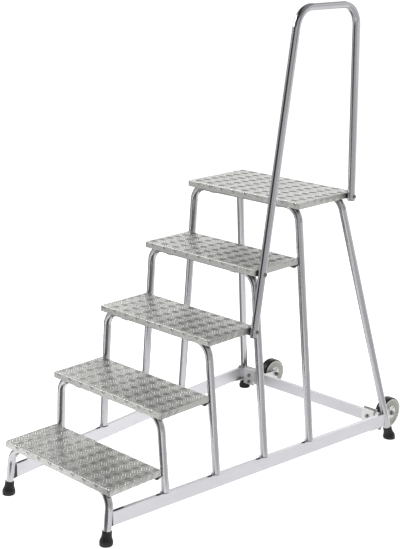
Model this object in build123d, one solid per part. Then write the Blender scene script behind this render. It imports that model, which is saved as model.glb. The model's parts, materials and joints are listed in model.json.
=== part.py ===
"""Rolling warehouse ladder: five folded steps on bent tube bows.

The ladder rests on four rubber feet. Two wheels behind the rear rail take the
load when it is tilted back. Millimetres, +Z up, +X to the climber's right,
+Y the way the climber goes. Z = 0 is the floor.
"""
import os
from math import cos, pi, sin

from build123d import *

os.makedirs("parts", exist_ok=True)

# Steps
STEPS = 5
FIRST_RISE = 194.0        # floor to the top of step 1
RISE = 200.0
RUN = 225.0               # front edge to front edge
STEP_WIDTH = 556.0
STEP_DEPTH = 226.0
PLATFORM_DEPTH = 303.0
SHEET = 3.0
LIP = 22.0                # depth of the folded edge
SEAM = 1.2                # open slit at each folded corner
FRONT = -733.75           # y of the front edge of step 1

# Tube
TUBE_R = 14.0
TUBE_WALL = 2.0
BEND = 62.0               # centre line radius of the bow corners
BOW_INSET = 17.6          # bow centre line behind the front edge
SHOULDER = 258.5          # half the leg spacing at the crossbar
BOW_LEAN = 3.0            # legs of bows 2 to 5 move back this far on the way down
FRONT_FOOT = (262.0, -7.0)     # front bow on the floor, y from the step 1 edge
REAR_FOOT = (388.0, 1352.0)    # rear bow on the floor, y from the step 1 edge
REAR_SHOULDER = 252.0
REAR_BOW_Y = 1159.0       # rear crossbar, y from the step 1 edge

# Base frame, flat rectangular tube
RAIL_W = 15.0
RAIL_H = 49.0
RAIL_WALL = 2.0
RAIL_TOP = 106.0
RAIL_X0 = 255.0           # side rail centre line at the step 1 edge
RAIL_SLOPE = 0.09         # the rails spread towards the back
RAIL_START = 24.0
REAR_RAIL_Y = 1311.0
REAR_RAIL_H = 44.0

# Handrail, one bent tube on the right
HAND_X = 296.0
HAND_TOP = 1674.0
HAND_BEND = 76.0
HAND_FRONT_Z = 562.0
HAND_FRONT_Y = 652.0
HAND_SLOPE = 0.179        # front post moves back this much per mm up
HAND_REAR_Z = 969.0
HAND_REAR_Y = 1170.0
HAND_REAR_SLOPE = -0.0125
BOLT_DROP = 12.0          # handrail bolts below the step surface

# Feet
FOOT_TOP_R = 16.5
FOOT_R = 23.5
FOOT_H = 47.0
FOOT_SOLE = 9.0           # rubber under the tube end

# Wheels
WHEEL_R = 60.0
WHEEL_W = 38.0
WHEEL_X = 310.0
WHEEL_Y = 1437.0          # from the step 1 edge
WHEEL_Z = 63.0            # the tyre clears the floor by 3 mm at rest
RIM_R = 55.0
BOSS_R = 30.0
BUSH_R = 10.0
AXLE_R = 5.0
ARM_T = 5.0
PLATE_T = 4.0             # bracket plate behind the rear rail
CLAMP_T = 4.0             # clamp plate in front of it
PLATE_LOW = 43.0
PLATE_HIGH = 114.0

GAP = 0.03                # joint gap between pieces of one body


def step_top(i):
    return FIRST_RISE + (i - 1) * RISE


def step_front(i):
    return FRONT + (i - 1) * RUN


def step_depth(i):
    return PLATFORM_DEPTH if i == STEPS else STEP_DEPTH


def rail_x(y):
    """Side rail centre line, half spacing at a given y."""
    return RAIL_X0 + RAIL_SLOPE * (y - FRONT)


def crossbar_z(i):
    return step_top(i) - SHEET - TUBE_R - GAP


def block(x0, x1, y0, y1, z0, z1):
    """Box between two corners."""
    at = Pos((x0 + x1) / 2, (y0 + y1) / 2, (z0 + z1) / 2)
    return at * Box(abs(x1 - x0), abs(y1 - y0), abs(z1 - z0))


def rod(p0, p1, r):
    """Solid cylinder between two points."""
    axis = Vector(*p1) - Vector(*p0)
    start = Plane(origin=p0, z_dir=axis)
    return extrude(start * Circle(r), amount=axis.length)


def hexagon(p0, p1, flats):
    """Hexagonal prism between two points, for bolt heads and nuts."""
    axis = Vector(*p1) - Vector(*p0)
    start = Plane(origin=p0, z_dir=axis)
    return extrude(start * RegularPolygon(flats / 2, 6, major_radius=False), amount=axis.length)


def bent_tube(points, bend):
    """Round tube along a polyline with rounded corners."""
    path = FilletPolyline(*points, radius=bend)
    section = Circle(TUBE_R) - Circle(TUBE_R - TUBE_WALL)
    return sweep(Plane(origin=path @ 0, z_dir=path % 0) * section, path=path)


def mirror_x(shape):
    return mirror(shape, about=Plane.YZ)


def both_sides(shapes):
    """The given solids and their mirror images."""
    return list(shapes) + [mirror_x(s) for s in shapes]


def save(name, *shapes):
    """One STEP file per node, one or more separate solids."""
    solids = []
    for shape in shapes:
        solids += shape.solids()
    body = solids[0] if len(solids) == 1 else Compound(children=solids)
    export_step(body, f"parts/{name}.step")


# Bow legs: shoulder point and lower point of the right leg
def bow_points(i):
    """Right leg centre line from the crossbar corner to its lower end."""
    z = crossbar_z(min(i, STEPS))
    if i == 1:
        return (SHOULDER, FRONT + BOW_INSET + 1, z), (FRONT_FOOT[0], FRONT + FRONT_FOOT[1], 0.0)
    if i == STEPS + 1:
        return (REAR_SHOULDER, FRONT + REAR_BOW_Y, z), (REAR_FOOT[0], FRONT + REAR_FOOT[1], 0.0)
    y = step_front(i) + BOW_INSET
    return (SHOULDER, y, z), (rail_x(y + BOW_LEAN), y + BOW_LEAN, RAIL_TOP)


def leg_at(i, z):
    """Point of the right leg centre line of bow i at a height."""
    (x1, y1, z1), (x0, y0, z0) = bow_points(i)
    t = (z - z0) / (z1 - z0)
    return (x0 + t * (x1 - x0), y0 + t * (y1 - y0), z)


def leg_rod(i, z0, z1, r):
    return rod(leg_at(i, z0), leg_at(i, z1), r)


def bow(i):
    """Bent tube bow: two splayed legs and the crossbar under the step."""
    end = FOOT_SOLE if i in (1, STEPS + 1) else RAIL_TOP + GAP
    low = leg_at(i, end - 20)
    top = bow_points(i)[0]
    points = [low, top, (-top[0], top[1], top[2]), (-low[0], low[1], low[2])]
    tube = bent_tube(points, BEND)
    if i in (1, STEPS + 1):
        return tube - both_feet_cut(i)
    return tube - block(-500, 500, -900, 900, -50, end)


def both_feet_cut(i):
    """Takes the tube away below the sole, square to the leg."""
    sole = rod(leg_at(i, -60), leg_at(i, FOOT_SOLE), 2 * TUBE_R)
    return sole + mirror_x(sole)


def foot(i):
    """Bell shaped rubber cap pushed on a leg, flat on the floor."""
    r0 = TUBE_R + GAP
    with BuildSketch(Plane.XZ) as profile:
        with BuildLine():
            Polyline((0, -20), (FOOT_R - 2, -20), (FOOT_R - 1, 2), (FOOT_R, 8), (FOOT_R - 0.6, 15))
            Spline((FOOT_R - 0.6, 15), (FOOT_TOP_R + 2.5, 24), (FOOT_TOP_R + 0.6, 34))
            Polyline((FOOT_TOP_R + 0.6, 34), (FOOT_TOP_R, FOOT_H), (r0, FOOT_H), (r0, FOOT_SOLE))
            Polyline((r0, FOOT_SOLE), (0, FOOT_SOLE), (0, -20))
        make_face()
    cap = revolve(profile.sketch, axis=Axis.Z)
    low, high = Vector(*leg_at(i, 0)), Vector(*leg_at(i, 100))
    cap = Plane(origin=low, z_dir=high - low) * cap
    return cap - block(-900, 900, -900, 900, -80, 0)


def step(i):
    """Folded pan: top sheet with a lip on all four edges, corners slit."""
    x = STEP_WIDTH / 2
    y0 = step_front(i)
    y1 = y0 + step_depth(i)
    z = step_top(i)
    pan = block(-x, x, y0, y1, z - LIP, z)
    pan = fillet(pan.edges().group_by(Axis.Z)[-1], 1.5)
    pan -= block(-x + SHEET, x - SHEET, y0 + SHEET, y1 - SHEET, z - LIP - 1, z - SHEET)
    for sx in (-1, 1):
        for yc, sy in ((y0, 1), (y1, -1)):
            slit_x = sx * (x - SHEET - SEAM / 2)
            pan -= block(slit_x - SEAM / 2, slit_x + SEAM / 2, yc - 1, yc + sy * SHEET, z - LIP - 1, z - SHEET)
    for yb, zb in hand_bolts():
        if abs(zb + BOLT_DROP - z) < 1:
            pan -= rod((x - SHEET - 1, yb, zb), (x + 1, yb, zb), 4.2)
    return pan


def side_rail():
    """Right side rail, coped to the rear leg."""
    y0 = FRONT + RAIL_START
    y1 = leg_at(STEPS + 1, RAIL_TOP - RAIL_H / 2)[1]
    z = RAIL_TOP - RAIL_H / 2
    p0 = Vector(rail_x(y0), y0, z)
    p1 = Vector(rail_x(y1), y1, z)
    start = Plane(origin=p0, x_dir=(0, 0, 1), z_dir=p1 - p0)
    section = Rectangle(RAIL_H, RAIL_W) - Rectangle(RAIL_H - 2 * RAIL_WALL, RAIL_W - 2 * RAIL_WALL)
    rail = extrude(start * section, amount=(p1 - p0).length)
    return rail - leg_rod(STEPS + 1, 0, 200, TUBE_R + GAP)


def rail_envelope(grow):
    """Solid outline of the right side rail, used to cope other pieces."""
    y0, y1 = FRONT, FRONT + REAR_FOOT[1] + 60
    z = RAIL_TOP - RAIL_H / 2
    p0 = Vector(rail_x(y0), y0, z)
    p1 = Vector(rail_x(y1), y1, z)
    start = Plane(origin=p0, x_dir=(0, 0, 1), z_dir=p1 - p0)
    return extrude(start * Rectangle(RAIL_H + 2 * grow, RAIL_W + 2 * grow), amount=(p1 - p0).length)


def rear_rail():
    """Cross rail between the side rails, ends cut to their slant."""
    y = FRONT + REAR_RAIL_Y
    z = RAIL_TOP - REAR_RAIL_H / 2
    x = rail_x(y) - 2
    start = Plane(origin=(-x, y, z), x_dir=(0, 0, 1), z_dir=(1, 0, 0))
    hollow = Rectangle(REAR_RAIL_H - 2 * RAIL_WALL, RAIL_W - 2 * RAIL_WALL)
    section = Rectangle(REAR_RAIL_H, RAIL_W) - hollow
    rail = extrude(start * section, amount=2 * x)
    side = rail_envelope(GAP)
    for cut in (side, mirror_x(side)):
        rail -= cut
    px, pz = bracket_bolt_points()[0]
    hole = rod((px, y - 20, pz), (px, y + 20, pz), 4.2)
    return rail - hole - mirror_x(hole)


def rail_connector():
    """Cast block between the front leg and the open end of the side rail."""
    y = FRONT + RAIL_START
    p0 = Vector(rail_x(y), y, RAIL_TOP - RAIL_H / 2)
    along = Plane(origin=p0, x_dir=(0, 0, 1), z_dir=(RAIL_SLOPE, 1, 0))
    inner = 2 * (RAIL_WALL + GAP)
    pad = extrude(along.offset(-GAP) * Rectangle(RAIL_H, RAIL_W), amount=-16)
    spigot = extrude(along.offset(-1) * Rectangle(RAIL_H - inner, RAIL_W - inner), amount=26)
    return pad + spigot - leg_rod(1, 0, 160, TUBE_R + GAP)


def seat_lug(i):
    """Lug on the leg behind step i that carries the rear corner of the step."""
    z = step_top(i) - LIP - GAP
    x, y, _ = leg_at(i + 1, z)
    x1 = STEP_WIDTH / 2
    x0 = x1 - 16
    y0 = y - TUBE_R - 31
    with BuildSketch(Plane.YZ) as side:
        with BuildLine():
            Polyline((y, z - 5), (y, z), (y0, z), (y0 + 1, z - 6))
            Spline((y0 + 1, z - 6), (y0 + 8, z - 10), (y0 + 18, z - 8), (y, z - 5))
        make_face()
    lug = Pos(x0, 0, 0) * extrude(side.sketch, amount=x1 - x0)
    return lug - leg_rod(i + 1, z - 60, z + 40, TUBE_R + GAP)


def saddle(x, i, y):
    """Strap that holds the crossbar against the step sheet."""
    z = step_top(i) - SHEET - GAP
    r = TUBE_R + GAP
    c = crossbar_z(i)
    t = 2.0
    strap = block(x - 12, x + 12, y - r - t, y + r + t, c, z)
    strap += rod((x - 12, y, c), (x + 12, y, c), r + t)
    strap += block(x - 12, x + 12, y, y + r + 20, z - t, z)
    if y - step_front(i) > 60:
        strap += block(x - 12, x + 12, y - r - 20, y, z - t, z)
    strap -= rod((x - 13, y, c), (x + 13, y, c), r)
    strap -= block(x - 13, x + 13, y - r, y + r, c, z + 1)
    keep = block(x - 12, x + 12, step_front(i) + SHEET + GAP, y + 60, c - 40, z)
    return strap & keep


def saddle_rivet(x, i, y):
    """Rivet under the step, its shank ends inside the sheet line."""
    z = step_top(i) - SHEET - 2 * GAP - 2.0
    head = rod((x, y, z - 3), (x, y, z), 4.0)
    return fillet(head.edges().group_by(Axis.Z)[0], 2.0)


def crossbars():
    """Step number and y of each of the six crossbars."""
    return [(min(i, STEPS), bow_points(i)[0][1]) for i in range(1, STEPS + 2)]


def handrail_points():
    z0 = HAND_FRONT_Z
    y0 = FRONT + HAND_FRONT_Y
    y1 = y0 + HAND_SLOPE * (HAND_TOP - z0)
    y2 = FRONT + HAND_REAR_Y + HAND_REAR_SLOPE * (HAND_TOP - HAND_REAR_Z)
    y3 = FRONT + HAND_REAR_Y
    return [(HAND_X, y0, z0), (HAND_X, y1, HAND_TOP), (HAND_X, y2, HAND_TOP), (HAND_X, y3, HAND_REAR_Z)]


def hand_bolts():
    """y and z of the three handrail bolts: step 3, step 4 and the platform."""
    spots = []
    for i in (3, 4):
        z = step_top(i) - BOLT_DROP
        spots.append((FRONT + HAND_FRONT_Y + HAND_SLOPE * (z - HAND_FRONT_Z), z))
    z = step_top(STEPS) - BOLT_DROP
    spots.append((FRONT + HAND_REAR_Y + HAND_REAR_SLOPE * (z - HAND_REAR_Z), z))
    return spots


def handrail():
    tube = bent_tube(handrail_points(), HAND_BEND)
    for y, z in hand_bolts():
        tube -= rod((HAND_X - 20, y, z), (HAND_X + 20, y, z), 4.2)
    return tube


def hand_spacer(y, z):
    """Saddle block between the post and the side lip of the step."""
    x0 = STEP_WIDTH / 2 + GAP
    body = block(x0, HAND_X - 8, y - 10, y + 10, z - 9, z + 9)
    post = rod((HAND_X, y - 60 * HAND_SLOPE, z - 60), (HAND_X, y + 60 * HAND_SLOPE, z + 60), TUBE_R + GAP)
    if y - FRONT > 1000:
        post = rod((HAND_X, y, z - 60), (HAND_X, y, z + 60), TUBE_R + GAP + 0.8)
    return body - post - rod((x0 - 1, y, z), (HAND_X, y, z), 4.2)


def hand_bolt(y, z):
    """Dome head bolt through the post, the spacer and the lip."""
    x1 = HAND_X + TUBE_R
    head = Pos(x1 + GAP, y, z) * Rot(0, 90, 0) * Cylinder(7.0, 5.0, align=(Align.CENTER, Align.CENTER, Align.MIN))
    head = fillet(head.edges().group_by(Axis.X)[-1], 3.5)
    return head + rod((STEP_WIDTH / 2 - 13, y, z), (x1 + 1, y, z), 4.0)


def hand_nut(y, z):
    x1 = STEP_WIDTH / 2 - SHEET - GAP
    return hexagon((x1 - 6.5, y, z), (x1, y, z), 13) - rod((x1 - 8, y, z), (x1 + 1, y, z), 4.0 + GAP)


def hand_plug(x, y, z, slope):
    """Plug in the open lower end of a handrail post."""
    up = Vector(0, slope, 1)
    base = Plane(origin=(x, y, z), z_dir=up)
    cap = extrude(base.offset(-2.0) * Circle(TUBE_R - 0.5), amount=2.0 - GAP)
    return cap + extrude(base.offset(-1.0) * Circle(TUBE_R - TUBE_WALL - GAP), amount=7.0)


def bracket_bolt_points():
    """x and z of the bolts of a wheel bracket: one through the rear rail, one under it."""
    return [(WHEEL_X + 4, RAIL_TOP - 22), (WHEEL_X + 4, RAIL_TOP - REAR_RAIL_H - 6.5)]


def wheel_bracket():
    """Plate on the back of the rear rail with one arm beside the wheel."""
    y0 = FRONT + REAR_RAIL_Y + RAIL_W / 2 + GAP
    arm_x = WHEEL_X - WHEEL_W / 2 - 3.5 - ARM_T
    plate = block(arm_x, WHEEL_X + 35, y0, y0 + PLATE_T, PLATE_LOW, PLATE_HIGH)
    for px, pz in bracket_bolt_points():
        plate -= rod((px, y0 - 1, pz), (px, y0 + 9, pz), 4.2)
    yw = FRONT + WHEEL_Y
    with BuildSketch(Plane.YZ) as side:
        with BuildLine():
            Polyline((y0 + 1, 46), (yw, WHEEL_Z - 15))
            ThreePointArc((yw, WHEEL_Z - 15), (yw + 15, WHEEL_Z), (yw, WHEEL_Z + 15))
            Polyline((yw, WHEEL_Z + 15), (y0 + 1, 84), (y0 + 1, 46))
        make_face()
    arm = Pos(arm_x, 0, 0) * extrude(side.sketch, amount=ARM_T)
    return plate + arm - rod((0, yw, WHEEL_Z), (400, yw, WHEEL_Z), AXLE_R + GAP)


def clamp_plate():
    """Plate on the front of the rear rail, bolted through to the wheel bracket."""
    y1 = FRONT + REAR_RAIL_Y - RAIL_W / 2 - GAP
    plate = block(WHEEL_X - 22, WHEEL_X + 35, y1 - CLAMP_T, y1, PLATE_LOW, PLATE_HIGH - 2)
    for px, pz in bracket_bolt_points():
        plate -= rod((px, y1 - 9, pz), (px, y1 + 1, pz), 4.2)
    return plate


def bracket_bolt(px, pz):
    y = FRONT + REAR_RAIL_Y - RAIL_W / 2 - CLAMP_T - 2 * GAP
    y1 = FRONT + REAR_RAIL_Y + RAIL_W / 2 + PLATE_T
    return hexagon((px, y - 5.3, pz), (px, y, pz), 13) + rod((px, y - 1, pz), (px, y1 + 9, pz), 4.0)


def bracket_nut(px, pz):
    y = FRONT + REAR_RAIL_Y + RAIL_W / 2 + PLATE_T + 2 * GAP
    return hexagon((px, y, pz), (px, y + 6.5, pz), 13) - rod((px, y - 1, pz), (px, y + 8, pz), 4.0 + GAP)


def axle():
    """Bolt the wheel turns on, head outside the hub."""
    y, z = FRONT + WHEEL_Y, WHEEL_Z
    x1 = WHEEL_X + WHEEL_W / 2 + 3.5
    head = hexagon((x1, y, z), (x1 + 6.5, y, z), 16)
    return head + rod((WHEEL_X - WHEEL_W / 2 - 21, y, z), (x1 + 1, y, z), AXLE_R)


def axle_nut():
    y, z = FRONT + WHEEL_Y, WHEEL_Z
    x1 = WHEEL_X - WHEEL_W / 2 - 3.5 - ARM_T - GAP
    return hexagon((x1 - 8, y, z), (x1, y, z), 16) - rod((x1 - 9, y, z), (x1 + 1, y, z), AXLE_R + GAP)


def washer(x0, x1):
    y, z = FRONT + WHEEL_Y, WHEEL_Z
    return rod((x0, y, z), (x1, y, z), 9.0) - rod((x0 - 1, y, z), (x1 + 1, y, z), AXLE_R + GAP)


def axle_washers():
    """Thrust washers on both sides of the hub."""
    inner = WHEEL_X - WHEEL_W / 2
    outer = WHEEL_X + WHEEL_W / 2
    return [washer(inner - 3.5 + GAP, inner - 1.4), washer(outer + 1.4, outer + 3.5 - GAP)]


def wheel_turn(profile):
    """Revolve a half section, given as (radius, offset from the wheel centre)."""
    face = make_face(Polyline(*[(u, r) for r, u in profile], close=True))
    solid = revolve(face, axis=Axis.X)
    return Pos(WHEEL_X, FRONT + WHEEL_Y, WHEEL_Z) * solid


def tyre():
    h = WHEEL_W / 2 - 1
    r = RIM_R + GAP
    half = [(r, h), (r + 2.5, h - 0.2), (WHEEL_R - 1.2, h - 2.5), (WHEEL_R, h - 6)]
    return wheel_turn(half + [(a, -b) for a, b in reversed(half)])


def rim():
    h = WHEEL_W / 2
    half = [
        (BUSH_R + GAP, h), (BOSS_R - 4, h), (BOSS_R, h - 3), (RIM_R - 6, h - 4),
        (RIM_R - 4, h - 1), (RIM_R, h - 1),
    ]
    body = wheel_turn(half + [(a, -b) for a, b in reversed(half)])
    y, z = FRONT + WHEEL_Y, WHEEL_Z
    for k in range(5):
        a = 2 * pi * k / 5 - pi / 2
        cy, cz = y + 22 * cos(a), z + 22 * sin(a)
        body -= rod((WHEEL_X + h - 8, cy, cz), (WHEEL_X + h + 1, cy, cz), 3.5)
        body -= rod((WHEEL_X - h - 1, cy, cz), (WHEEL_X - h + 8, cy, cz), 3.5)
    return body


def bush():
    h = WHEEL_W / 2 + 1
    y, z = FRONT + WHEEL_Y, WHEEL_Z
    outer = rod((WHEEL_X - h, y, z), (WHEEL_X + h, y, z), BUSH_R)
    return outer - rod((WHEEL_X - h - 1, y, z), (WHEEL_X + h + 1, y, z), AXLE_R + 0.06)


def corner_gusset():
    """Plate under the corner of side rail and rear rail, with a pad up to the rear rail."""
    z1 = RAIL_TOP - RAIL_H - GAP
    y = FRONT + REAR_RAIL_Y
    x = rail_x(y)
    corners = [(x + 6, y + 5), (x - 23, y + 5), (x - 23, y - 8), (x - 9, y - 60), (x + 1, y - 60)]
    plate = extrude(Plane.XY.offset(z1 - 4) * make_face(Polyline(*corners, close=True)), amount=4)
    pad = block(x - 23, x, y - 6, y + 5, z1 - 2, RAIL_TOP - REAR_RAIL_H - GAP)
    return plate + (pad - rail_envelope(GAP)) - corner_bolt_rod(4.2)


def corner_bolt_rod(r):
    y = FRONT + REAR_RAIL_Y - 6
    x = rail_x(y)
    return rod((x, y, RAIL_TOP - RAIL_H - 14), (x, y, RAIL_TOP + 1), r)


def corner_bolt():
    y = FRONT + REAR_RAIL_Y - 6
    x = rail_x(y)
    z = RAIL_TOP + GAP
    return hexagon((x, y, z), (x, y, z + 5.3), 13) + corner_bolt_rod(4.0)


def corner_nut():
    y = FRONT + REAR_RAIL_Y - 6
    x = rail_x(y)
    z = RAIL_TOP - RAIL_H - 4 - 2 * GAP
    return hexagon((x, y, z - 6.5), (x, y, z), 13) - corner_bolt_rod(4.0 + GAP)


# Steps and bows
for n in range(1, STEPS + 1):
    save("platform" if n == STEPS else f"step_{n}", step(n))
for n in range(1, STEPS + 2):
    save(f"bow_{n}", bow(n))

# Base frame
RIGHT_RAIL = side_rail() - corner_bolt_rod(4.2)
save("side_rail_right", RIGHT_RAIL)
save("side_rail_left", mirror_x(RIGHT_RAIL))
save("rear_rail", rear_rail())
save("rail_connectors", *both_sides([rail_connector()]))
save("corner_gussets", *both_sides([corner_gusset()]))
save("corner_bolts", *both_sides([corner_bolt()]))
save("corner_nuts", *both_sides([corner_nut()]))

# Fixings of the steps
save("seat_lugs", *both_sides([seat_lug(n) for n in range(1, STEPS)]))
SADDLES = [saddle(160, n, y) for n, y in crossbars()]
save("saddle_straps", *both_sides(SADDLES))
RIVETS = [saddle_rivet(160, n, y + TUBE_R + 11) for n, y in crossbars()]
RIVETS.append(saddle_rivet(160, STEPS, FRONT + REAR_BOW_Y - TUBE_R - 11))
save("saddle_rivets", *both_sides(RIVETS))

# Feet
save("foot_front_right", foot(1))
save("foot_front_left", mirror_x(foot(1)))
save("foot_rear_right", foot(STEPS + 1))
save("foot_rear_left", mirror_x(foot(STEPS + 1)))

# Handrail
HAND = handrail_points()
save("handrail", handrail())
save("handrail_spacers", *[hand_spacer(y, z) for y, z in hand_bolts()])
save("handrail_bolts", *[hand_bolt(y, z) for y, z in hand_bolts()])
save("handrail_nuts", *[hand_nut(y, z) for y, z in hand_bolts()])
save("handrail_plugs", hand_plug(*HAND[0], HAND_SLOPE), hand_plug(*HAND[-1], HAND_REAR_SLOPE))

# Wheels and their brackets
for side, place in (("right", lambda s: s), ("left", mirror_x)):
    save(f"wheel_bracket_{side}", place(wheel_bracket()))
    save(f"axle_{side}", place(axle()))
    save(f"tyre_{side}", place(tyre()))
    save(f"rim_{side}", place(rim()))
    save(f"bush_{side}", place(bush()))
save("clamp_plates", *both_sides([clamp_plate()]))
save("axle_nuts", *both_sides([axle_nut()]))
save("axle_washers", *both_sides(axle_washers()))
save("bracket_bolts", *both_sides([bracket_bolt(*p) for p in bracket_bolt_points()]))
save("bracket_nuts", *both_sides([bracket_nut(*p) for p in bracket_bolt_points()]))
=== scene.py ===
"""Looks of the rolling warehouse ladder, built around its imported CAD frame.

Metres, +Z up, +X to the climber's right, +Y the way the climber goes.
"""
import json
import math
import random

import bpy
from mathutils import Matrix, Vector

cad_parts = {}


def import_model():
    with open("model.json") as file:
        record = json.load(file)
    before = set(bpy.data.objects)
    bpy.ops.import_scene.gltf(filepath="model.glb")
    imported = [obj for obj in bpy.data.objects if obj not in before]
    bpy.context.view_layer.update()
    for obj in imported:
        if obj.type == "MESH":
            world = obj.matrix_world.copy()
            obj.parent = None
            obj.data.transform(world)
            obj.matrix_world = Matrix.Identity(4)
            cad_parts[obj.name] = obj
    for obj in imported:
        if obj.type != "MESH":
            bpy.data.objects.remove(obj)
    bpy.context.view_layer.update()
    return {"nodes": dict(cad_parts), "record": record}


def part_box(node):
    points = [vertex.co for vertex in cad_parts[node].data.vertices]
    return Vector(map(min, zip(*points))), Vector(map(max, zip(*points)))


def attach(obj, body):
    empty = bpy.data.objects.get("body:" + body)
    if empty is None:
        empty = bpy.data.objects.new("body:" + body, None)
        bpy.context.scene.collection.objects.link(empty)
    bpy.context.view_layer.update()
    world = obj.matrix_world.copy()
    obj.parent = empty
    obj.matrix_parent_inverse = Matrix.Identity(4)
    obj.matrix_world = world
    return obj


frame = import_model()
NODES = frame["nodes"]
rng = random.Random(7)

STANDING_BOWS = ("bow_2", "bow_3", "bow_4", "bow_5")
SIDE_RAILS = ("side_rail_left", "side_rail_right")
FLAT_METAL = SIDE_RAILS + (
    "rear_rail", "clamp_plates", "wheel_bracket_left", "wheel_bracket_right",
)

# Raised bars of the step sheet
CELL_X = 0.060
CELL_Y = 0.037
CELL_SHEAR = 0.005            # sideways shift from row to row
ROW_START = 0.010             # row 0's distance from the edge of the front lip
BAR_GROUPS = (
    # shift in cells, turn, bars, distance between bars, (length, width, height)
    (0.0, math.radians(24), 2, 0.0110, (0.034, 0.0030, 0.0011)),
    (0.5, math.radians(-40), 4, 0.0086, (0.034, 0.0050, 0.0017)),
)
BAR_STARTS = {                # where the pattern starts on each step, in cells
    "step_1": 0.0, "step_2": 0.35, "step_3": 0.15, "step_4": 0.55, "platform": 0.8,
}
BAR_SINK = 0.0005             # how far a bar's underside lies in the sheet
BAR_MARGIN = 0.002            # clear strip at the lower edge of a lip
BAR_STATIONS = (-1.0, -0.8, -0.45, 0.0, 0.45, 0.8, 1.0)
BAR_ACROSS = (-1.0, -0.55, 0.0, 0.55, 1.0)
BAR_TIP = 0.05                # width at the tips, as a share of the full width
BAR_TAPER = 2.4               # power of the width's fall towards the tips
BAR_END = 3                   # powers of the height's fall towards the tips
BAR_CROWN = 0.6
BAR_FLANK = 0.8               # power of the height's fall towards the sides
FOLD = 0.0015                 # outer radius of the sheet's folded edge

# Weld beads on the side rails, and black oval marks on them that are painted shadow and
# reflection
WELD_STEPS = 72
WELD_ROUND = 8
WELD_RADIUS = 0.0018
WELD_RIPPLES = 18
WELD_RIPPLE = 0.14
WELD_UNEVEN = 0.05
DARK_MARK_STEPS = 24
DARK_MARK_LENGTH = 0.024
DARK_MARK_WIDTH = 0.0095
DARK_MARK_CLEAR = 0.001             # gap between a dark mark and its leg
# (share of the mark's outline, height above the rail) of each ring of a dark mark
DARK_MARK_RINGS = ((1.0, -0.0004), (1.0, 0.0006), (0.86, 0.0013), (0.55, 0.0016))
FRONT_DARK_MARK_LENGTH = 0.050
FRONT_DARK_MARK_INSET = 0.004

# Rounded edges of the flat metal
EDGE_WIDTH = 0.0007
EDGE_SEGMENTS = 2
EDGE_ANGLE = math.radians(50)

# Tints and finishes
WHITE = (1.0, 1.0, 1.0)
LAVENDER = (0.985, 0.985, 1.03)
COOL = (0.985, 0.985, 1.025)
WARM = (1.0, 1.0, 0.965)
IVORY = (1.0, 1.0, 0.98)
DARK_ZINC = (1.0, 0.98, 0.98)
DRAW_LINES = {"X": (6, 900, 900), "Y": (900, 6, 900), "Z": (900, 900, 6)}
HUB_RADIUS = (0.026, 0.029)   # the hub's colour fades out between these radii
RING_RADIUS = (0.046, 0.050)  # the outer ring's colour fades in between these

# Camera
CAMERA_AT = (3.07582, -3.13926, 1.98600)
CAMERA_AZIMUTH = 44.8639
CAMERA_DOWN = 16.1842
CAMERA_ROLL = 0.2353
FOCAL_PIXELS = 1257.06
IMAGE_HEIGHT = 549
SENSOR = 36.0
CLIP_END = 100

# Studio
TO_CAMERA = Vector((0.705, -0.709, 0.0))
TO_RIGHT = Vector((0.709, 0.705, 0.0))
FLOOR_RADIUS = 40.0
FLOOR_GLOW = 0.80
FLOOR_SIDES = 96
FLOOR_Z = -0.0005
CLOTH_Z = 0.001
SKY_SEEN = 1.1                # the sky's level where the camera sees it
# Sky brightness as (place, level), each a factor of the whole
SKY_BY_HEIGHT = (
    (0.0, 1.22), (0.17, 1.22), (0.27, 1.60), (0.48, 1.60),
    (0.62, 0.60), (0.78, 0.30), (1.0, 0.22),
)
SKY_TO_CAMERA = ((0.0, 1.0), (0.25, 0.8), (0.6, 0.35), (1.0, 0.25))
SKY_LEFT_TO_RIGHT = (
    (0.0, 0.5), (0.38, 0.10), (0.45, 1.0), (0.56, 1.05),
    (0.64, 2.0), (0.72, 2.0), (0.80, 0.75), (1.0, 0.65),
)
CLOTHS = (                    # name, corners on the floor, level
    ("cloth_front", ((0.50, -0.90), (6.0, -18.0), (-9.0, -18.0), (-0.05, -0.90)), 0.22),
    ("cloth_right", ((9.0, -1.5), (0.62, -0.80), (0.75, 1.5), (9.0, 9.0)), 0.80),
    ("cloth_left", ((-1.3, -0.6), (-0.75, -1.15), (-9.2, -18.0), (-18.0, -9.0)), 0.80),
    ("cloth_behind", ((-0.45, -0.7), (-0.3, 1.0), (-18.0, 18.0), (-18.0, -8.0)), 0.42),
)


# ---------------------------------------------------------------- materials

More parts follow.
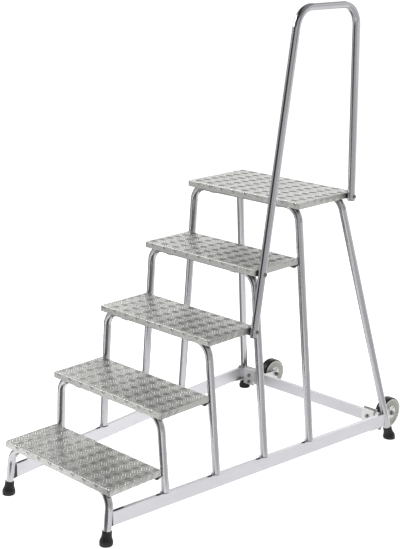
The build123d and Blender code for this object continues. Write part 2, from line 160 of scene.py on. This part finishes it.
class Shader:
    """A material's node tree with short calls for the nodes used here."""

    def __init__(self, name, **sockets):
        self.material = bpy.data.materials.new(name)
        self.material.use_nodes = True
        self.tree = self.material.node_tree
        self.surface = self.tree.nodes["Principled BSDF"]
        for socket, value in sockets.items():
            self.surface.inputs[socket.replace("_", " ")].default_value = value
        self.place = self.node("ShaderNodeTexCoord").outputs["Object"]

    def node(self, kind, **settings):
        made = self.tree.nodes.new(kind)
        for key, value in settings.items():
            setattr(made, key, value)
        return made

    def link(self, a, b):
        self.tree.links.new(a, b)

    def stretched(self, scale):
        mapping = self.node("ShaderNodeMapping")
        mapping.inputs["Scale"].default_value = scale
        self.link(self.place, mapping.inputs["Vector"])
        return mapping.outputs["Vector"]

    def noise(self, scale, detail=3.0, stretch=None):
        """Value from 0 to 1 of a noise over the object, per metre."""
        made = self.node("ShaderNodeTexNoise")
        made.inputs["Scale"].default_value = scale
        made.inputs["Detail"].default_value = detail
        source = self.place if stretch is None else self.stretched(stretch)
        self.link(source, made.inputs["Vector"])
        return made.outputs["Fac"]

    def spread(self, value, low, high, start=0.3, end=0.7):
        """Value mapped from start and end to low and high."""
        made = self.node("ShaderNodeMapRange")
        made.inputs["From Min"].default_value = start
        made.inputs["From Max"].default_value = end
        made.inputs["To Min"].default_value = low
        made.inputs["To Max"].default_value = high
        self.link(value, made.inputs["Value"])
        return made.outputs["Result"]

    def blend(self, factor, a, b):
        """Colour between a and b, which are colours or sockets."""
        made = self.node("ShaderNodeMix", data_type="RGBA")
        self.link(factor, made.inputs["Factor"])
        for value, socket in ((a, made.inputs[6]), (b, made.inputs[7])):
            if isinstance(value, tuple):
                socket.default_value = (*value, 1.0)
            else:
                self.link(value, socket)
        return made.outputs[2]

    def radius(self, node):
        """Distance from the X axis line through the middle of a CAD node."""
        low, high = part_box(node)
        offset = self.node("ShaderNodeVectorMath", operation="SUBTRACT")
        self.link(self.place, offset.inputs[0])
        offset.inputs[1].default_value = (low + high) / 2
        flat = self.node("ShaderNodeVectorMath", operation="MULTIPLY")
        self.link(offset.outputs[0], flat.inputs[0])
        flat.inputs[1].default_value = (0.0, 1.0, 1.0)
        length = self.node("ShaderNodeVectorMath", operation="LENGTH")
        self.link(flat.outputs[0], length.inputs[0])
        return length.outputs["Value"]

    def colour(self, socket):
        self.link(socket, self.surface.inputs["Base Color"])

    def roughness(self, value, low, high):
        self.link(self.spread(value, low, high), self.surface.inputs["Roughness"])

    def bump(self, height, distance, strength):
        made = self.node("ShaderNodeBump")
        made.inputs["Distance"].default_value = distance
        made.inputs["Strength"].default_value = strength
        self.link(height, made.inputs["Height"])
        self.link(made.outputs["Normal"], self.surface.inputs["Normal"])


def grey(level, tint=WHITE):
    return tuple(level * t for t in tint)


def metal(name, level, tint, rough, along="Z"):
    """Satin aluminium with fine draw lines along one axis."""
    s = Shader(name, Metallic=1.0)
    lines = s.noise(1.0, 2.0, DRAW_LINES[along])
    cloud = s.noise(9.0, 4.0)
    s.colour(s.blend(cloud, grey(level * 0.95, tint), grey(level * 1.04, tint)))
    s.roughness(lines, rough - 0.05, rough + 0.06)
    s.bump(lines, 0.00002, 0.35)
    return s.material


def tread_metal():
    """Bright rolled sheet, slightly warm, dulled in patches by handling."""
    s = Shader("tread_sheet", Metallic=0.92)
    cloud = s.noise(14.0, 5.0)
    fine = s.noise(700.0, 2.0)
    s.colour(s.blend(cloud, grey(0.47, WARM), grey(0.54, WARM)))
    s.roughness(cloud, 0.36, 0.44)
    s.bump(fine, 0.00004, 0.4)
    return s.material


def bar_metal():
    """Bar tops of the sheet, polished by shoes."""
    s = Shader("tread_bars", Metallic=1.0)
    wear = s.noise(40.0, 4.0)
    s.colour(s.blend(wear, grey(0.54, WARM), grey(0.66, WARM)))
    s.roughness(wear, 0.09, 0.15)
    s.bump(s.noise(500.0, 2.0), 0.00003, 0.3)
    return s.material


def rubber(name, level, rough):
    """Matt black rubber, a little uneven."""
    s = Shader(name, Specular_IOR_Level=0.4)
    cloud = s.noise(60.0, 4.0)
    s.colour(s.blend(cloud, grey(level * 0.7), grey(level * 1.5)))
    s.roughness(cloud, rough - 0.1, rough + 0.1)
    s.bump(s.noise(900.0, 3.0), 0.0001, 0.5)
    return s.material


def cast_plastic(name, low, high, rough):
    """Moulded or coated surface with a fine grain."""
    s = Shader(name)
    cloud = s.noise(35.0, 4.0)
    s.colour(s.blend(cloud, low, high))
    s.roughness(cloud, rough - 0.08, rough + 0.08)
    s.bump(s.noise(600.0, 3.0), 0.00008, 0.4)
    return s.material


def rim_plastic():
    """Cream moulding: pale hub, greyer dish, cream outer ring."""
    s = Shader("rim_plastic")
    cloud = s.noise(35.0, 4.0)
    radius = s.radius("rim_left")
    cream = s.blend(cloud, (0.50, 0.50, 0.45), (0.60, 0.60, 0.54))
    dish = s.blend(cloud, (0.30, 0.30, 0.27), (0.40, 0.40, 0.36))
    pale = (0.80, 0.80, 0.76)
    outer = s.blend(s.spread(radius, 0.0, 1.0, *RING_RADIUS), dish, cream)
    s.colour(s.blend(s.spread(radius, 1.0, 0.0, *HUB_RADIUS), outer, pale))
    s.roughness(cloud, 0.28, 0.42)
    s.bump(s.noise(600.0, 3.0), 0.00008, 0.4)
    return s.material


MATERIALS = {
    "tread_sheet": tread_metal(),
    "bow_tube": metal("bow_tube", 0.45, COOL, 0.18),
    "hand_tube": metal("hand_tube", 0.46, LAVENDER, 0.15),
    "rail_metal": metal("rail_metal", 0.62, LAVENDER, 0.42, "Y"),
    "cast_black": cast_plastic(
        "cast_black", (0.003, 0.003, 0.004), (0.008, 0.008, 0.009), 0.45),
    "bracket_metal": metal("bracket_metal", 0.62, IVORY, 0.45, "X"),
    "strap_metal": metal("strap_metal", 0.55, WHITE, 0.4, "X"),
    "bolt_metal": metal("bolt_metal", 0.20, DARK_ZINC, 0.35, "X"),
    "foot_rubber": rubber("foot_rubber", 0.007, 0.55),
    "plug_plastic": cast_plastic("plug_plastic", grey(0.004), grey(0.010), 0.5),
    "tyre_rubber": rubber("tyre_rubber", 0.005, 0.45),
    "rim_plastic": rim_plastic(),
    "bush_metal": metal("bush_metal", 0.45, WHITE, 0.3, "X"),
}
BAR_METAL = bar_metal()
# Darker copy of the rail finish for the rear rail: painted shade, where the ladder's structure
# shades the rear rail.
SHADED_REAR_RAIL_METAL = metal("rear_rail_shaded_metal", 0.50, LAVENDER, 0.36, "X")


def dress_cad_nodes():
    """Gives each CAD node its slot's finish, and the rear rail a darker copy of the rail finish
    as painted shade.
    """
    for part in frame["record"]["subparts"]:
        node = NODES[part["node"]]
        node.data.materials.clear()
        node.data.materials.append(MATERIALS[part["material_slot"]])
    NODES["rear_rail"].data.materials[0] = SHADED_REAR_RAIL_METAL


def soften_edges():
    """Small rounded edges on the flat metal nodes."""
    for name in FLAT_METAL:
        bevel = NODES[name].modifiers.new("edges", "BEVEL")
        bevel.width = EDGE_WIDTH
        bevel.segments = EDGE_SEGMENTS
        bevel.limit_method = "ANGLE"
        bevel.angle_limit = EDGE_ANGLE


# ---------------------------------------------------------------- mesh pieces

def add_object(name, verts, faces, material):
    mesh = bpy.data.meshes.new(name)
    mesh.from_pydata(verts, [], faces)
    made = bpy.data.objects.new(name, mesh)
    bpy.context.scene.collection.objects.link(made)
    mesh.materials.append(material)
    return made


def add_piece(name, verts, faces, material):
    """Smooth piece of the ladder that rides on its frame."""
    piece = add_object(name, verts, faces, material)
    piece.data.validate()
    piece.data.polygons.foreach_set("use_smooth", [True] * len(piece.data.polygons))
    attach(piece, "frame")


class FoldedSheet:
    """Maps points of the flat sheet onto the top and the folded lips of a step."""

    def __init__(self, node):
        low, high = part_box(node)
        self.low = (low.x + FOLD, low.y + FOLD)
        self.high = (high.x - FOLD, high.y - FOLD)
        self.top = high.z
        self.reach = FOLD * math.pi / 2 + (high.z - low.z) - FOLD

    def over(self, value, axis):
        """How far a flat coordinate lies past the fold, and on which side."""
        if value < self.low[axis]:
            return self.low[axis] - value, -1
        if value > self.high[axis]:
            return value - self.high[axis], 1
        return 0.0, 0

    def held(self, value, axis, past=0.0):
        """A flat coordinate kept within the folds, or so far past them."""
        return min(max(value, self.low[axis] - past), self.high[axis] + past)

    def place(self, x, y, height):
        """Point of the folded sheet, with its height above the surface."""
        past_x, side_x = self.over(x, 0)
        past_y, side_y = self.over(y, 1)
        past, side, axis = (past_x, side_x, 0) if past_x > past_y else (past_y, side_y, 1)
        if not side:
            return (x, y, self.top + height)
        turn = min(past / FOLD, math.pi / 2)
        straight = max(past - FOLD * math.pi / 2, 0.0)
        out = (FOLD + height) * math.sin(turn)
        z = self.top - FOLD + (FOLD + height) * math.cos(turn) - straight
        edge = self.high[axis] if side > 0 else self.low[axis]
        if axis == 0:
            return (edge + side * out, self.held(y, 1), z)
        return (self.held(x, 0), edge + side * out, z)

    def holds(self, x, y):
        """True where the flat point is on the sheet and not at a cut corner."""
        past_x, past_y = self.over(x, 0)[0], self.over(y, 1)[0]
        return min(past_x, past_y) == 0 and max(past_x, past_y) < self.reach - BAR_MARGIN


def bar_mesh(sheet, x, y, angle, size, verts, faces):
    """One lens-shaped raised bar with its underside sunk into the sheet."""
    length, width, tall = size
    along = (math.cos(angle), math.sin(angle))
    first = len(verts)
    for t in BAR_STATIONS:
        half = width / 2 * max(1 - abs(t) ** BAR_TAPER, BAR_TIP)
        rise = tall * (1 - abs(t) ** BAR_END) ** BAR_CROWN
        for c in BAR_ACROSS:
            px = x + along[0] * t * length / 2 - along[1] * c * half
            py = y + along[1] * t * length / 2 + along[0] * c * half
            crown = math.cos(c * math.pi / 2) ** BAR_FLANK
            height = -BAR_SINK + (rise + BAR_SINK) * crown
            verts.append(sheet.place(
                sheet.held(px, 0, sheet.reach), sheet.held(py, 1, sheet.reach), height))
    n = len(BAR_ACROSS)
    for i in range(len(BAR_STATIONS) - 1):
        row = first + i * n
        for j in range(n - 1):
            faces.append((row + j, row + n + j, row + n + j + 1, row + j + 1))
        faces.append((row, row + n - 1, row + 2 * n - 1, row + n))
    last = first + (len(BAR_STATIONS) - 1) * n
    faces.append(tuple(range(first, first + n)))
    faces.append(tuple(range(last + n - 1, last - 1, -1)))


def sheet_bars(node, start):
    """Groups of raised bars, in turn to one side and to the other."""
    sheet = FoldedSheet(node)
    verts, faces = [], []
    reach = sheet.reach
    rows = range(-1, int((sheet.high[1] - sheet.low[1] + 2 * reach) / CELL_Y) + 2)
    columns = range(-2, int((sheet.high[0] - sheet.low[0] + 2 * reach) / CELL_X) + 2)
    for row in rows:
        for column in columns:
            for half, angle, bars, pitch, size in BAR_GROUPS:
                cell = (column + half + start) * CELL_X + row * CELL_SHEAR
                cx = sheet.low[0] - reach + cell
                cy = sheet.low[1] - reach + (row + half) * CELL_Y + ROW_START
                for k in range(bars):
                    shift = (k - (bars - 1) / 2) * pitch
                    x = cx - math.sin(angle) * shift
                    y = cy + math.cos(angle) * shift
                    if sheet.holds(x, y):
                        bar_mesh(sheet, x, y, angle, size, verts, faces)
    add_piece(f"{node}_bars", verts, faces, BAR_METAL)


def standing_legs():
    """Foot and radius of each leg that stands on a side rail."""
    for node in STANDING_BOWS:
        low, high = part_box(node)
        radius = (high.y - low.y) / 2
        for x in (low.x + radius, high.x - radius):
            yield (x, (high.y + low.y) / 2, low.z), radius


def weld_ring(centre, radius, verts, faces):
    """Rippled weld bead round the foot of an upright tube."""
    first = len(verts)
    for i in range(WELD_STEPS):
        turn = i * math.tau / WELD_STEPS
        ripple = WELD_RIPPLE * math.sin(WELD_RIPPLES * turn)
        bead = WELD_RADIUS * (1 + ripple + rng.uniform(-WELD_UNEVEN, WELD_UNEVEN))
        for j in range(WELD_ROUND):
            roll = j * math.tau / WELD_ROUND
            out = radius + bead * math.cos(roll)
            verts.append((
                centre[0] + out * math.cos(turn),
                centre[1] + out * math.sin(turn),
                centre[2] + bead * math.sin(roll),
            ))
    for i in range(WELD_STEPS):
        here = first + i * WELD_ROUND
        there = first + (i + 1) % WELD_STEPS * WELD_ROUND
        for j in range(WELD_ROUND):
            k = (j + 1) % WELD_ROUND
            faces.append((here + j, there + j, there + k, here + k))


def leg_welds():
    """Beads where the legs of the middle bows stand on the side rails."""
    verts, faces = [], []
    for foot, radius in standing_legs():
        weld_ring(foot, radius, verts, faces)
    add_piece("leg_welds", verts, faces, MATERIALS["rail_metal"])


def oval_dark_mark(centre, length, verts, faces):
    """Low oval mark with a rounded rim, lying on a rail."""
    first = len(verts)
    for share, rise in DARK_MARK_RINGS:
        for i in range(DARK_MARK_STEPS):
            turn = i * math.tau / DARK_MARK_STEPS
            verts.append((
                centre[0] + DARK_MARK_WIDTH / 2 * share * math.cos(turn),
                centre[1] + length / 2 * share * math.sin(turn),
                centre[2] + rise,
            ))
    for ring in range(len(DARK_MARK_RINGS) - 1):
        row = first + ring * DARK_MARK_STEPS
        for i in range(DARK_MARK_STEPS):
            k = (i + 1) % DARK_MARK_STEPS
            faces.append((row + i, row + k, row + DARK_MARK_STEPS + k, row + DARK_MARK_STEPS + i))
    last = first + (len(DARK_MARK_RINGS) - 1) * DARK_MARK_STEPS
    faces.append(tuple(range(last, last + DARK_MARK_STEPS)))
    faces.append(tuple(range(first + DARK_MARK_STEPS - 1, first - 1, -1)))


def rail_shade_and_reflection_marks():
    """Black oval marks on the side rails: in front of each leg they are painted shadow and
    reflection at the leg's foot, and at the rails' fronts they are painted dark reflection
    along the top edge.
    """
    verts, faces = [], []
    for (x, y, z), radius in standing_legs():
        oval_dark_mark((x, y - radius - DARK_MARK_LENGTH / 2 - DARK_MARK_CLEAR, z), DARK_MARK_LENGTH, verts, faces)
    for rail in SIDE_RAILS:
        low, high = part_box(rail)
        x = math.copysign(min(abs(low.x), abs(high.x)) + DARK_MARK_WIDTH, low.x)
        y = low.y + FRONT_DARK_MARK_LENGTH / 2 + FRONT_DARK_MARK_INSET
        oval_dark_mark((x, y, high.z), FRONT_DARK_MARK_LENGTH, verts, faces)
    add_piece("rail_shade_and_reflection_marks", verts, faces, MATERIALS["plug_plastic"])


# ---------------------------------------------------------------- studio

def floor():
    """Plain pale studio floor that glows a little, like a light table."""
    bpy.ops.mesh.primitive_circle_add(
        vertices=FLOOR_SIDES, radius=FLOOR_RADIUS, fill_type="NGON", location=(0, 0, FLOOR_Z))
    made = bpy.context.object
    made.name = "floor"
    s = Shader(
        "floor_white", Roughness=0.9, Specular_IOR_Level=0.0,
        Emission_Color=(1, 1, 1, 1), Emission_Strength=FLOOR_GLOW)
    s.colour(s.blend(s.noise(0.6, 2.0), grey(0.90), grey(0.92)))
    made.data.materials.append(s.material)


def area_light(name, at, aim, size, power):
    light = bpy.data.lights.new(name, "AREA")
    light.shape = "RECTANGLE"
    light.size, light.size_y = size
    light.energy = power
    made = bpy.data.objects.new(name, light)
    bpy.context.scene.collection.objects.link(made)
    made.location = at
    made.rotation_euler = (Vector(aim) - Vector(at)).to_track_quat("-Z", "Y").to_euler()


def reflected_sheet(name, corners, level):
    """Glowing four-sided sheet that only shows in reflections."""
    s = Shader(
        name, Base_Color=(0, 0, 0, 1), Specular_IOR_Level=0.0,
        Emission_Color=(1, 1, 1, 1), Emission_Strength=level)
    made = add_object(name, corners, [(0, 1, 2, 3)], s.material)
    made.visible_camera = False
    made.visible_diffuse = False
    made.visible_shadow = False


def card(name, azimuth, distance, width, height, level):
    """Upright card that stands on the floor, turned to the ladder.

    The azimuth is in degrees from the camera's side, positive to its right.
    """
    away = Matrix.Rotation(math.radians(azimuth), 3, "Z") @ TO_CAMERA
    side = Vector((-away.y, away.x, 0)) * width / 2
    base = away * distance
    up = Vector((0, 0, height))
    reflected_sheet(name, [base - side, base + side, base + side + up, base - side + up], level)


def ramp_of(tree, value, stops):
    """Grey level that follows a value through stops of (place, level)."""
    ramp = tree.nodes.new("ShaderNodeValToRGB")
    tree.links.new(value, ramp.inputs["Fac"])
    while len(ramp.color_ramp.elements) < len(stops):
        ramp.color_ramp.elements.new(0.5)
    for element, (place, level) in zip(ramp.color_ramp.elements, stops):
        element.position = place
        element.color = (level, level, level, 1)
    return ramp.outputs["Color"]


def share_along(tree, direction, axis):
    """Cosine of the angle between the sky's direction and an axis."""
    made = tree.nodes.new("ShaderNodeVectorMath")
    made.operation = "DOT_PRODUCT"
    tree.links.new(direction, made.inputs[0])
    made.inputs[1].default_value = axis
    return made.outputs["Value"]


def product(tree, a, b):
    """Product of two colours."""
    made = tree.nodes.new("ShaderNodeMix")
    made.data_type = "RGBA"
    made.blend_type = "MULTIPLY"
    made.inputs["Factor"].default_value = 1.0
    tree.links.new(a, made.inputs[6])
    tree.links.new(b, made.inputs[7])
    return made.outputs[2]


def world():
    """White sky that is dimmer overhead, on the camera's side and in places around."""
    made = bpy.data.worlds.new("studio")
    bpy.context.scene.world = made
    made.use_nodes = True
    tree = made.node_tree
    new, link = tree.nodes.new, tree.links.new
    direction = new("ShaderNodeTexCoord").outputs["Generated"]
    parts = new("ShaderNodeSeparateXYZ")
    link(direction, parts.inputs[0])
    height = ramp_of(tree, parts.outputs["Z"], SKY_BY_HEIGHT)
    near = ramp_of(tree, share_along(tree, direction, TO_CAMERA), SKY_TO_CAMERA)
    centred = new("ShaderNodeMapRange")
    centred.inputs["From Min"].default_value = -1.0
    link(share_along(tree, direction, TO_RIGHT), centred.inputs["Value"])
    across = ramp_of(tree, centred.outputs["Result"], SKY_LEFT_TO_RIGHT)
    seen = new("ShaderNodeMix")
    seen.data_type = "RGBA"
    link(new("ShaderNodeLightPath").outputs["Is Camera Ray"], seen.inputs["Factor"])
    link(product(tree, product(tree, height, near), across), seen.inputs[6])
    seen.inputs[7].default_value = (*grey(SKY_SEEN), 1)
    link(seen.outputs[2], tree.nodes["Background"].inputs["Color"])


def camera():
    data = bpy.data.cameras.new("camera")
    data.sensor_width = SENSOR
    data.lens = FOCAL_PIXELS * SENSOR / IMAGE_HEIGHT
    data.clip_end = CLIP_END
    made = bpy.data.objects.new("camera", data)
    bpy.context.scene.collection.objects.link(made)
    az, down, roll = (
        math.radians(a) for a in (CAMERA_AZIMUTH, CAMERA_DOWN, CAMERA_ROLL))
    level = math.cos(down)
    ahead = Vector((-math.sin(az) * level, math.cos(az) * level, -math.sin(down)))
    right = Vector((math.cos(az), math.sin(az), 0))
    up = right.cross(ahead)
    x = right * math.cos(roll) + up * math.sin(roll)
    y = up * math.cos(roll) - right * math.sin(roll)
    turn = Matrix((x, y, -ahead)).transposed()
    made.matrix_world = Matrix.Translation(CAMERA_AT) @ turn.to_4x4()
    bpy.context.scene.camera = made


def studio():
    floor()
    world()
    for name, outline, level in CLOTHS:
        reflected_sheet(name, [(x, y, CLOTH_Z) for x, y in outline], level)
    card("flag_left", azimuth=-56, distance=7.0, width=5.5, height=3.6, level=0.06)
    area_light(
        "key_box", at=(-2.7, -1.7, 3.3), aim=(0, 0, 0.6), size=(2.2, 2.2), power=110)
    card("card_camera", azimuth=12, distance=2.6, width=3.2, height=2.4, level=0.72)
    camera()
    bpy.context.scene.view_settings.view_transform = "Standard"


dress_cad_nodes()
soften_edges()
leg_welds()
rail_shade_and_reflection_marks()
for step, pattern_start in BAR_STARTS.items():
    sheet_bars(step, pattern_start)
studio()
